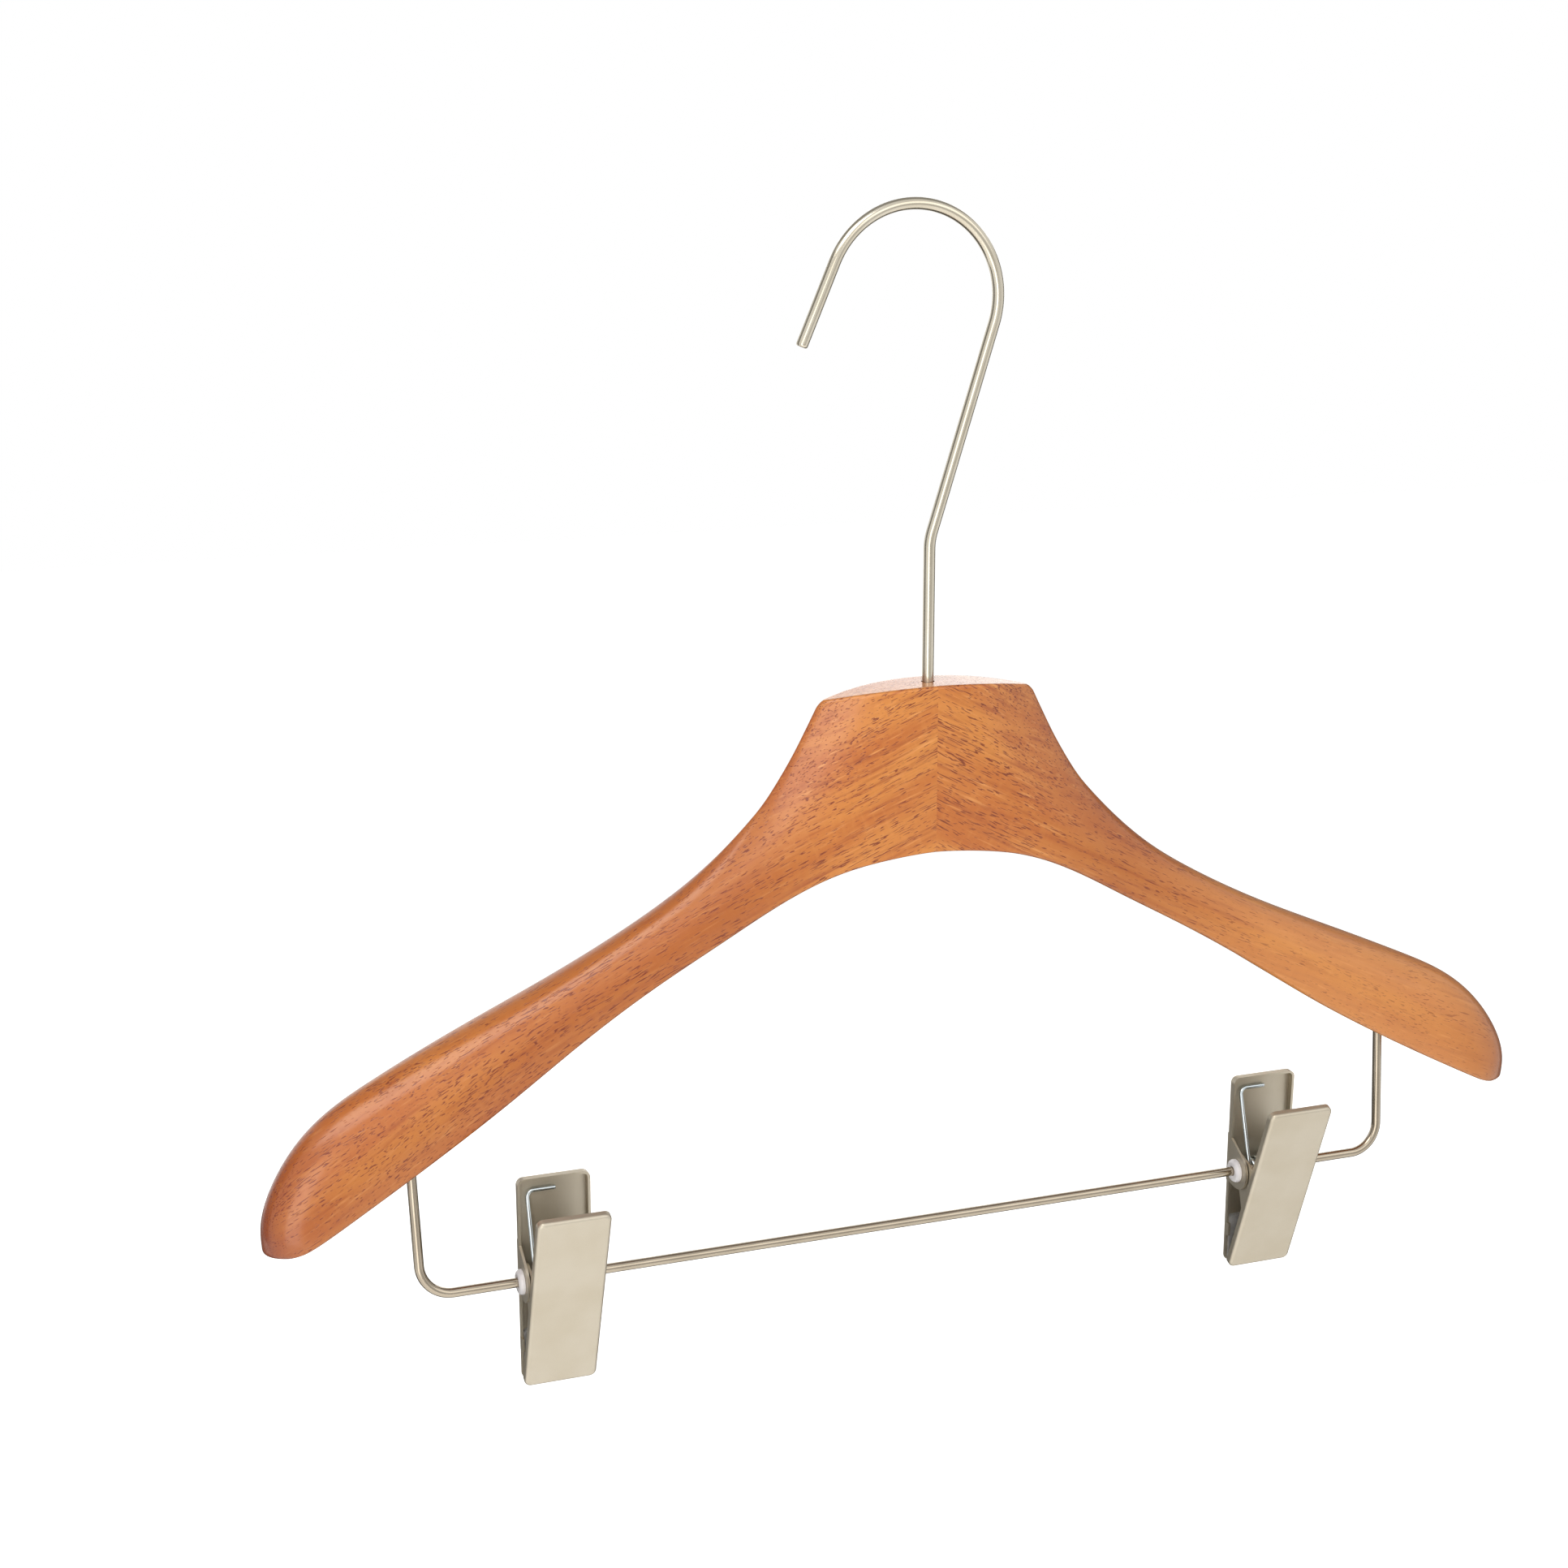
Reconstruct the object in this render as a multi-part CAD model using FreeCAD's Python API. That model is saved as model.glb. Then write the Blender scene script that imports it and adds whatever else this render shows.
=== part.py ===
import FreeCAD, Part
import math
import os

os.makedirs("parts", exist_ok=True)

Vector = FreeCAD.Vector
X_AXIS = Vector(1, 0, 0)
Y_AXIS = Vector(0, 1, 0)
Z_AXIS = Vector(0, 0, 1)

# Wooden hanger with a swivel hook and two sliding clips, in millimetres.
# X runs along the clip bar, Y goes to the back and Z is up. Everything is drawn from the point
# where the hook's stem leaves the neck, and moved at the end so that the origin is the top of
# the hook's inside, where it sits on a rail.

# Driving dimensions of the wood
HALF_SPAN = 214.0
ARM_DROP = 157.0
NECK_HALF = 8.3
TIP_HALF = 14.3
SWEEP_BACK = 43.0
SWEEP_FORWARD = 53.0
NECK_ROUND = 35.0
ARM_ROUND = 15.0
END_ROUND = 28.0
LOWER_EDGE_ROUND = 1.4
CROWN_RADIUS = 165.0

# Driving dimensions of the hook
HOOK_WIRE = 3.6
HOOK_ROUND = 27.1
HOOK_OFFSET = 6.0
HOOK_REACH = 140.7
SHANK_LEAN = 17.3
SHANK_BEND = 18.0
TIP_LEAN = 23.3
TIP_RUN = 26.0
HEAD_WIDTH = 8.0
HEAD_HEIGHT = 2.4

# Driving dimensions of what holds the hook and the two arms
SLEEVE_WIDTH = 6.0
SLEEVE_TOP = 3.0
SLEEVE_LENGTH = 22.0
WASHER_WIDTH = 9.0
WASHER_HEIGHT = 1.0
KEY_LENGTH = 30.0
KEY_WIDTH = 5.0
KEY_HEIGHT = 12.0
KEY_DEPTH = 41.0

# Driving dimensions of the clip bar
BAR_WIRE = 3.0
BAR_DROP = 174.3
BAR_FORWARD = 7.9
BAR_HALF = 165.0
BAR_BEND = 10.0
LEG_SEAT_DROP = 114.7
LEG_SPLAY = 1.2
BAR_LEAN = 6.3

# Driving dimensions of a clip
CLIP_PLACE = 122.5
CLIP_WIDTH = 22.8
SHEET = 0.8
CORNER_ROUND = 2.2
EDGE_ROUND = 1.1
BACK_FACE = 6.9
BACK_TOP = 31.4
BACK_BOTTOM = 35.2
BACK_RIM_TOP = 2.4
BACK_RIM_FOOT = 0.9
BACK_EAR_TOP = 11.3
BACK_EAR_ROUND = 6.4
BACK_EAR_FOOT = 5.8
FRONT_FACE = 10.6
FRONT_TOP = 32.7
FRONT_BOTTOM = 35.0
FRONT_LEAN = 20.0
FRONT_RIM = 1.7
FRONT_EAR_TOP = 6.0
FRONT_EAR_ROUND = 5.5
FRONT_EAR_FOOT = 13.0
TAB_PLACE = 23.1
TAB_HEIGHT = 4.3
TAB_DEPTH = 2.6
PAD_START = 18.5
PAD_THICKNESS = 1.4

# Driving dimensions of a bush and a spring
BUSH_WIDTH = 5.0
FLANGE_WIDTH = 7.8
FLANGE_HEIGHT = 1.8
SPRING_WIRE = 1.3
COIL_RADIUS = 3.4
COIL_TURNS = 6
LEG_PLACE = 8.2
LEG_TOP = 27.0
FOOT_LENGTH = 9.0
FOOT_BEND = 2.2

# Clearances
RUNNING_CLEARANCE = 0.05
SEAT_CLEARANCE = 0.05
HOOK_HOLE_CLEARANCE = 0.3
EAR_GAP = 0.3
PAD_SIDE_GAP = 0.1
PAD_GAP = 0.3
FOOT_GAP = 0.1

# Each station of an arm: its lower and its upper end, as shares of HALF_SPAN and ARM_DROP.
# The first ones lie across the neck, past the glue line, and are cut back to it.
station_shares = [
    ((-0.066, 0.045), (0.140, 0.045)),
    ((-0.066, -0.051), (0.165, -0.027)),
    ((-0.066, -0.140), (0.187, -0.086)),
    ((-0.056, -0.290), (0.213, -0.150)),
    ((0.009, -0.334), (0.238, -0.203)),
    ((0.117, -0.352), (0.266, -0.250)),
    ((0.210, -0.396), (0.304, -0.303)),
    ((0.308, -0.469), (0.369, -0.379)),
    ((0.407, -0.545), (0.453, -0.452)),
    ((0.523, -0.641), (0.570, -0.535)),
    ((0.645, -0.749), (0.701, -0.613)),
    ((0.762, -0.841), (0.822, -0.684)),
    ((0.846, -0.901), (0.918, -0.759)),
    ((0.893, -0.933), (0.966, -0.839)),
    ((0.926, -0.955), (0.987, -0.918)),
    ((0.948, -0.969), (0.986, -0.972)),
]
# Where along the span the neck's section has become the arm's, where the arm is thickest, and
# where its rounding has deepened to that of the shoulder's end
neck_shares = (0.17, 0.40)
thick_shares = (0.33, 0.90)
end_shares = (0.55, 0.95)
# How full the rounded upper side of a section is, and how sharp its crest is at neck, arm and end
FULLNESS = 2.5
crest_shares = (1.0, 0.42, 0.56)
SIDE_STEPS = 7


def ease(value, low, high):
    """A share from 0 to 1 that rises smoothly between two values."""
    share = min(max((value - low) / (high - low), 0.0), 1.0)
    return share * share * (3 - 2 * share)


def blend(first, last, share):
    return first + (last - first) * share


def plan_middle(x):
    """How far back the middle of the wood lies, at a distance from the glue line."""
    share = max(x, 0) / HALF_SPAN
    return SWEEP_BACK * share ** 2 - SWEEP_FORWARD * share ** 3


def station_wire(shares):
    """The closed outline of one section of an arm."""
    (low_x, low_z), (top_x, top_z) = shares
    low = Vector(low_x * HALF_SPAN, 0, low_z * ARM_DROP)
    top = Vector(top_x * HALF_SPAN, 0, top_z * ARM_DROP)
    along = top - low
    height = along.Length
    along.normalize()
    turned = ease(top_x, *neck_shares)
    half = blend(NECK_HALF, TIP_HALF, ease(top_x, *thick_shares))
    ended = ease(top_x, *end_shares)
    depth = blend(blend(NECK_ROUND, ARM_ROUND, turned), END_ROUND, ended)
    crest = blend(blend(crest_shares[0], crest_shares[1], turned), crest_shares[2], ended)

    def point(rise, side):
        spot = low + along * rise
        return spot + Y_AXIS * (plan_middle(spot.x) + side)

    def reach(below):
        inner = 1 - min(below / depth, 1.0)
        return half * (1 - inner ** FULLNESS) ** crest

    side_height = height - LOWER_EDGE_ROUND
    belows = [side_height * (step / SIDE_STEPS) ** 2 for step in range(SIDE_STEPS, 0, -1)]
    front = [point(height - below, -reach(below)) for below in belows]
    back = [point(height - below, reach(below)) for below in reversed(belows)]
    side = Part.BSplineCurve()
    side.interpolate(front + [point(height, 0)] + back)
    wide = reach(side_height)
    flat = wide - LOWER_EDGE_ROUND
    corner = LOWER_EDGE_ROUND * (1 - math.sqrt(0.5))
    bottom = Part.LineSegment(point(0, flat), point(0, -flat))
    front_edge = Part.Arc(point(0, -flat), point(corner, corner - wide), front[0])
    back_edge = Part.Arc(back[-1], point(corner, wide - corner), point(0, flat))
    return Part.Wire([edge.toShape() for edge in (bottom, front_edge, side, back_edge)])


def cylinder(radius, start, end):
    return Part.makeCylinder(radius, (end - start).Length, start, end - start)


def solid_sweep(edges, wire_width):
    """One round wire along a path of lines and arcs."""
    path = Part.Wire(edges)
    start = edges[0].valueAt(edges[0].FirstParameter)
    tangent = edges[0].tangentAt(edges[0].FirstParameter)
    ring = Part.Wire([Part.Circle(start, tangent, wire_width / 2).toShape()])
    return path.makePipeShell([ring], True, False)


def line(start, end):
    return Part.LineSegment(start, end).toShape()


def arc(start, middle, end):
    return Part.Arc(start, middle, end).toShape()


def rounded_corner(before, corner, after, radius):
    """The arc that rounds a corner between two straight runs, with its two ends."""
    back = (before - corner).normalize()
    ahead = (after - corner).normalize()
    half_angle = back.getAngle(ahead) / 2
    setback = radius / math.tan(half_angle)
    start = corner + back * setback
    end = corner + ahead * setback
    bisector = (back + ahead).normalize()
    middle = corner + bisector * (radius / math.sin(half_angle) - radius)
    return arc(start, middle, end), start, end


# Wooden arms

WASHER_TOP = -(SLEEVE_TOP + SLEEVE_LENGTH)
HEAD_TOP = WASHER_TOP - WASHER_HEIGHT - RUNNING_CLEARANCE
HEAD_BOTTOM = HEAD_TOP - HEAD_HEIGHT
POCKET_BOTTOM = HEAD_BOTTOM - HOOK_HOLE_CLEARANCE
BAR_CENTRE = Vector(0, -BAR_FORWARD, -BAR_DROP)
LEG_RISE = (BAR_DROP - LEG_SEAT_DROP) / math.cos(math.radians(BAR_LEAN))


def leg_point(side, rise):
    """A point on the middle line of a leg of the clip bar, at a height above the bar."""
    out = BAR_HALF + rise * math.tan(math.radians(LEG_SPLAY))
    lean = math.radians(BAR_LEAN)
    return BAR_CENTRE + Vector(side * out, rise * math.sin(lean), rise * math.cos(lean))


def key_block(grow):
    """The loose tenon across the glue line, or with some growth the mortise that it fills."""
    size = (KEY_LENGTH + 2 * grow, KEY_WIDTH + 2 * grow, KEY_HEIGHT + 2 * grow)
    corner = Vector(-size[0] / 2, -size[1] / 2, -KEY_DEPTH - size[2] / 2)
    return Part.makeBox(*size, corner)


def hook_cavity():
    hole = cylinder(HOOK_WIRE / 2 + HOOK_HOLE_CLEARANCE, Z_AXIS * -SLEEVE_TOP, Z_AXIS * SLEEVE_TOP)
    bore = cylinder(SLEEVE_WIDTH / 2 + SEAT_CLEARANCE, Z_AXIS * WASHER_TOP, Z_AXIS * -SLEEVE_TOP)
    pocket = cylinder(WASHER_WIDTH / 2 + SEAT_CLEARANCE, Z_AXIS * POCKET_BOTTOM, Z_AXIS * WASHER_TOP)
    return hole.fuse([bore, pocket])


def crown_cut():
    """What lies above the neck's gently arched top."""
    half = neck_shares[0] * HALF_SPAN
    rise = station_shares[0][1][1] * ARM_DROP
    block = Part.makeBox(2 * half, 2 * half, 3 * rise, Vector(-half, -half, -rise))
    under = Vector(0, -half, -CROWN_RADIUS)
    return block.cut(cylinder(CROWN_RADIUS, under, under + Y_AXIS * 2 * half))


def right_arm():
    arm = Part.makeLoft([station_wire(shares) for shares in station_shares], True, False)
    keep = Part.makeBox(2 * HALF_SPAN, HALF_SPAN, 3 * ARM_DROP, Vector(0, -HALF_SPAN / 2, -2 * ARM_DROP))
    arm = arm.common(keep)
    seat = cylinder(BAR_WIRE / 2 + SEAT_CLEARANCE, leg_point(1, 0), leg_point(1, LEG_RISE + SEAT_CLEARANCE))
    return arm.cut([crown_cut(), hook_cavity(), key_block(SEAT_CLEARANCE), seat])


# Hook and what holds it

def hook():
    wire = HOOK_WIRE / 2
    centre = Vector(-HOOK_OFFSET, 0, HOOK_REACH + wire - HOOK_ROUND)
    lean = math.radians(SHANK_LEAN)
    tip_lean = math.radians(TIP_LEAN)

    def on_round(angle):
        return centre + Vector(math.cos(angle), 0, math.sin(angle)) * HOOK_ROUND

    shank_top = on_round(-lean)
    tip_start = on_round(math.pi - tip_lean)
    tip_end = tip_start + Vector(-math.sin(tip_lean), 0, -math.cos(tip_lean)) * TIP_RUN
    corner = Vector(0, 0, shank_top.z - shank_top.x / math.tan(lean))
    bend, bend_top, bend_foot = rounded_corner(shank_top, corner, Vector(), SHANK_BEND)
    edges = [
        line(tip_end, tip_start),
        arc(tip_start, on_round((math.pi - tip_lean - lean) / 2), shank_top),
        line(shank_top, bend_top),
        bend,
        line(bend_foot, Z_AXIS * HEAD_BOTTOM),
    ]
    head = cylinder(HEAD_WIDTH / 2, Z_AXIS * HEAD_BOTTOM, Z_AXIS * HEAD_TOP)
    return solid_sweep(edges, HOOK_WIRE).fuse(head).removeSplitter()


def ring(outer, inner, bottom, top):
    low = Z_AXIS * bottom
    high = Z_AXIS * top
    return cylinder(outer, low, high).cut(cylinder(inner, low, high))


def hook_sleeve():
    return ring(SLEEVE_WIDTH / 2, HOOK_WIRE / 2 + RUNNING_CLEARANCE, WASHER_TOP, -SLEEVE_TOP)


def hook_washer():
    return ring(WASHER_WIDTH / 2, HOOK_WIRE / 2 + RUNNING_CLEARANCE, WASHER_TOP - WASHER_HEIGHT, WASHER_TOP)


# Clip bar

def clip_bar():
    corners = [leg_point(side, 0) for side in (-1, 1)]
    tops = [leg_point(side, LEG_RISE) for side in (-1, 1)]
    left, left_in, left_out = rounded_corner(tops[0], corners[0], corners[1], BAR_BEND)
    right, right_in, right_out = rounded_corner(corners[0], corners[1], tops[1], BAR_BEND)
    edges = [line(tops[0], left_in), left, line(left_out, right_in), right, line(right_out, tops[1])]
    return solid_sweep(edges, BAR_WIRE)


# Clips, drawn round the bar's axis and placed along it

HALF_WIDTH = CLIP_WIDTH / 2
INNER_HALF = HALF_WIDTH - SHEET
EAR_HOLE = BUSH_WIDTH / 2 + RUNNING_CLEARANCE


def tangent_point(outside, radius, turn):
    """Where a line from an outside point touches a circle round the bar, seen along the bar."""
    away = math.hypot(outside.y, outside.z)
    angle = math.atan2(outside.z, outside.y) + turn * math.acos(radius / away)
    return Vector(0, radius * math.cos(angle), radius * math.sin(angle))


def plate_outline(half, low, high, corner):
    """A rounded rectangle across the bar, as a face at Y zero."""
    spots = [Vector(-half, 0, low), Vector(half, 0, low), Vector(half, 0, high), Vector(-half, 0, high)]
    edges = []
    rounds = []
    for index, spot in enumerate(spots):
        rounds.append(rounded_corner(spots[index - 1], spot, spots[(index + 1) % len(spots)], corner))
    for index, (bend, start, end) in enumerate(rounds):
        edges.append(line(rounds[index - 1][2], start))
        edges.append(bend)
    return Part.Face(Part.Wire(edges))


def tray(face, top, bottom, rim):
    """A plate with a rim bent in along its top and sides, its outer face at Y = face."""
    outer = plate_outline(HALF_WIDTH, -bottom, top, CORNER_ROUND)
    block = outer.extrude(Y_AXIS * (rim + SHEET))
    block.translate(Y_AXIS * (face - rim - SHEET))
    loop = [edge for edge in block.Edges if abs(edge.BoundBox.YMin - face) < RUNNING_CLEARANCE]
    block = block.makeFillet(EDGE_ROUND, loop)
    inner = plate_outline(INNER_HALF, -bottom - CORNER_ROUND, top - SHEET, CORNER_ROUND - SHEET)
    hollow = inner.extrude(Y_AXIS * rim)
    hollow.translate(Y_AXIS * (face - rim - SHEET))
    return block.cut(hollow)


def ear(face, top, round_end, foot, outer_x):
    """One ear: a sloped edge above, a round end about the bar and an S-curve below."""
    root = face - SHEET / 2
    high = Vector(0, root, top)
    low = Vector(0, root, -foot)
    slope_end = tangent_point(high, round_end, 1)
    turn_end = Vector(0, 0, -round_end)
    around = Vector(0, -round_end * math.cos(math.pi / 4), -round_end * math.sin(math.pi / 4))
    pull = root / 2
    bezier = Part.BezierCurve()
    bezier.setPoles([turn_end, turn_end + Y_AXIS * pull, low - Y_AXIS * pull, low])
    edges = [line(low, high), line(high, slope_end), arc(slope_end, around, turn_end), bezier.toShape()]
    plate = Part.Face(Part.Wire(edges)).extrude(X_AXIS * SHEET)
    hole = cylinder(EAR_HOLE, X_AXIS * -SHEET, X_AXIS * 2 * SHEET)
    plate = plate.cut(hole)
    plate.translate(X_AXIS * (outer_x - SHEET))
    return plate


def rim_taper():
    """What is cut off the back jaw's rim, so that it grows lower from the top to the mouth."""
    inside = BACK_FACE - SHEET
    clear = inside - 2 * BACK_RIM_TOP
    foot = -BACK_BOTTOM - CORNER_ROUND
    spots = [(inside - BACK_RIM_TOP, BACK_TOP), (inside - BACK_RIM_FOOT, foot), (clear, foot), (clear, BACK_TOP)]
    spots = [Vector(-CLIP_WIDTH, y, z) for y, z in spots]
    return Part.Face(Part.makePolygon(spots + spots[:1])).extrude(X_AXIS * 2 * CLIP_WIDTH)


def tab():
    """A tab that stands in from the back jaw's side rim, beside the pad."""
    corner = Vector(INNER_HALF, BACK_FACE - SHEET - TAB_DEPTH, -TAB_PLACE - TAB_HEIGHT / 2)
    return Part.makeBox(SHEET, TAB_DEPTH, TAB_HEIGHT, corner)


def mirrored(shape):
    return shape.mirror(Vector(), X_AXIS)


def jaw(plate, pieces):
    """A plate with its ears and tabs, each given for one side and mirrored to the other."""
    return plate.fuse(pieces + [mirrored(piece) for piece in pieces]).removeSplitter()


def lean_forward(shape):
    """Turns a piece made like the back jaw's round to the front and leans its top forward."""
    front = shape.mirror(Vector(), Y_AXIS)
    front.rotate(Vector(), X_AXIS, FRONT_LEAN)
    return front


def back_jaw():
    side = ear(BACK_FACE, BACK_EAR_TOP, BACK_EAR_ROUND, BACK_EAR_FOOT, HALF_WIDTH)
    plate = tray(BACK_FACE, BACK_TOP, BACK_BOTTOM, BACK_RIM_TOP).cut(rim_taper())
    return jaw(plate, [side, tab()])


def front_jaw():
    side = ear(FRONT_FACE, FRONT_EAR_TOP, FRONT_EAR_ROUND, FRONT_EAR_FOOT, INNER_HALF - EAR_GAP)
    return lean_forward(jaw(tray(FRONT_FACE, FRONT_TOP, FRONT_BOTTOM, FRONT_RIM), [side]))


def pad(face, bottom, thickness):
    """A flat grip pad against the inner face of a jaw's plate."""
    low = -bottom + PAD_SIDE_GAP
    outline = plate_outline(INNER_HALF - PAD_SIDE_GAP, low, -PAD_START, CORNER_ROUND - SHEET)
    solid = outline.extrude(Y_AXIS * thickness)
    solid.translate(Y_AXIS * (face - SHEET - thickness))
    return solid


def front_pad():
    return lean_forward(pad(FRONT_FACE, FRONT_BOTTOM, PAD_THICKNESS))


def back_pad():
    """Fills what the front pad's lower edge leaves of the mouth, but for the gap between them."""
    lean = math.radians(FRONT_LEAN)
    depth = FRONT_FACE - SHEET - PAD_THICKNESS
    lip = (FRONT_BOTTOM - PAD_SIDE_GAP) * math.sin(lean) - depth * math.cos(lean)
    return pad(BACK_FACE, BACK_BOTTOM, BACK_FACE - SHEET - lip - PAD_GAP)


def bush(side):
    """A clear bush with a domed flange; its sleeve carries both ears on one side of a clip."""
    bore = BAR_WIRE / 2 + RUNNING_CLEARANCE
    sleeve = BUSH_WIDTH / 2
    flange = FLANGE_WIDTH / 2
    seat = HALF_WIDTH + RUNNING_CLEARANCE
    inner = INNER_HALF - EAR_GAP - SHEET - RUNNING_CLEARANCE
    rim = seat + FLANGE_HEIGHT / 3
    outer = seat + FLANGE_HEIGHT
    crown = (bore + flange) / 2
    spots = [(inner, bore), (inner, sleeve), (seat, sleeve), (seat, flange), (rim, flange)]
    spots = [Vector(x, 0, radius) for x, radius in spots]
    dome_end = Vector(outer, 0, crown)
    dome_middle = Vector((rim + 2 * outer) / 3, 0, (crown + 2 * flange) / 3)
    last = Vector(outer, 0, bore)
    edges = [line(start, end) for start, end in zip(spots, spots[1:])]
    edges += [arc(spots[-1], dome_middle, dome_end), line(dome_end, last), line(last, spots[0])]
    solid = Part.Face(Part.Wire(edges)).revolve(Vector(), X_AXIS, 360)
    return solid if side > 0 else mirrored(solid)


# Spring: a foot on each plate, a leg down across to the coil's far side, and the coil round the bar

def turned_forward(spot):
    lean = math.radians(FRONT_LEAN)
    across = spot.y * math.cos(lean) - spot.z * math.sin(lean)
    return Vector(spot.x, across, spot.y * math.sin(lean) + spot.z * math.cos(lean))


FOOT_INSET = SHEET + SPRING_WIRE / 2 + FOOT_GAP


def spring_ends():
    """The corner of each leg and foot, and the angle at which each leg touches the coil."""
    back_corner = Vector(-LEG_PLACE, BACK_FACE - FOOT_INSET, LEG_TOP)
    front_corner = turned_forward(Vector(LEG_PLACE, FOOT_INSET - FRONT_FACE, LEG_TOP))
    back_touch = tangent_point(back_corner, COIL_RADIUS, 1)
    front_touch = tangent_point(front_corner, COIL_RADIUS, -1)
    start = math.atan2(back_touch.z, back_touch.y)
    end = math.atan2(front_touch.z, front_touch.y)
    while end < start:
        end += 2 * math.pi
    return back_corner, front_corner, start, end + 2 * math.pi * COIL_TURNS


def coil_point(share, start, end):
    """A point of the coil; its first and last turns run in flat to meet the legs."""
    turn_share = 2 * math.pi / (end - start)
    quarter = turn_share / 4
    flat = min(share, 1 - share)
    eased = flat * flat / (2 * quarter) if flat < quarter else flat - quarter / 2
    run = eased if share < 0.5 else 1 - quarter - eased
    angle = blend(start, end, share)
    x = blend(-LEG_PLACE, LEG_PLACE, run / (1 - quarter))
    return Vector(x, COIL_RADIUS * math.cos(angle), COIL_RADIUS * math.sin(angle))


def coil_tangent(share, start, end):
    step = 1e-5
    before = coil_point(max(share - step, 0), start, end)
    return (coil_point(min(share + step, 1), start, end) - before).normalize()


def biarc(first, first_way, last, last_way):
    """Two tangent arcs between two points with given directions."""
    gap = last - first
    ways = first_way + last_way
    square = 2 * (1 - first_way.dot(last_way))
    part = gap.dot(ways)
    reach = (math.sqrt(part ** 2 + square * gap.dot(gap)) - part) / square
    join = (first + last + (first_way - last_way) * reach) / 2

    def bend(start, way, end):
        chord = end - start
        normal = chord - way * chord.dot(way)
        radius = chord.dot(chord) / (2 * normal.Length)
        centre = start + normal.normalize() * radius
        out = ((start + end) / 2 - centre).normalize()
        return arc(start, centre + out * radius, end)

    return [bend(first, first_way, join), bend(last, -last_way, join)]


def spring():
    back_corner, front_corner, start, end = spring_ends()
    quarters = math.ceil((end - start) / (math.pi / 2))
    shares = [index / quarters for index in range(quarters + 1)]
    spots = [coil_point(share, start, end) for share in shares]
    ways = [coil_tangent(share, start, end) for share in shares]
    back_foot = back_corner + X_AXIS * FOOT_LENGTH
    front_foot = front_corner - X_AXIS * FOOT_LENGTH
    back_bend, back_in, back_out = rounded_corner(back_foot, back_corner, spots[0], FOOT_BEND)
    front_bend, front_in, front_out = rounded_corner(spots[-1], front_corner, front_foot, FOOT_BEND)
    edges = [line(back_foot, back_in), back_bend, line(back_out, spots[0])]
    for index in range(quarters):
        edges += biarc(spots[index], ways[index], spots[index + 1], ways[index + 1])
    edges += [line(spots[-1], front_in), front_bend, line(front_out, front_foot)]
    return solid_sweep(Part.__sortEdges__(edges), SPRING_WIRE)


def spring_gap():
    """The least gap between the coil's turns, measured on points along its middle line."""
    start, end = spring_ends()[2:]
    steps = 48
    count = round((end - start) / (2 * math.pi) * steps)
    spots = [coil_point(index / count, start, end) for index in range(count + 1)]
    gaps = []
    for index, spot in enumerate(spots):
        gaps += [spot.distanceToPoint(other) for other in spots[index + steps // 2:]]
    return min(gaps) - SPRING_WIRE


# All pieces by name, moved to the frame and saved

FRAME_SHIFT = Vector(HOOK_OFFSET, 0, -HOOK_REACH)
arm = right_arm()
pieces = {
    "right_arm": arm,
    "left_arm": mirrored(arm),
    "joint_key": key_block(0),
    "hook": hook(),
    "hook_sleeve": hook_sleeve(),
    "hook_washer": hook_washer(),
    "clip_bar": clip_bar(),
}
for name, side in (("left", -1), ("right", 1)):
    clip = {
        "back_jaw": back_jaw(),
        "front_jaw": front_jaw(),
        "spring": spring(),
        "outer_bush": bush(side),
        "inner_bush": bush(-side),
        "back_pad": back_pad(),
        "front_pad": front_pad(),
    }
    for piece, shape in clip.items():
        shape.translate(BAR_CENTRE + X_AXIS * side * CLIP_PLACE)
        pieces[name + "_" + piece] = shape

print("least gap between the turns of a spring: %.3f mm" % spring_gap())
for name, shape in pieces.items():
    shape.translate(FRAME_SHIFT)
    solid = shape.Solids[0]
    box = solid.BoundBox
    print(name, len(shape.Solids), solid.isValid(), round(solid.Volume, 1),
          [round(value, 1) for value in (box.XMin, box.XMax, box.YMin, box.YMax, box.ZMin, box.ZMax)])
    solid.exportStep("parts/" + name + ".step")
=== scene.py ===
# %% [markdown]
# # A wooden hanger with two sliding clips
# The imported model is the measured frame: it says where each piece sits and what it moves with.
# We load it first and never move it. What we add are finer surfaces and the finishes.

# %% Load the frame
import math

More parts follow.
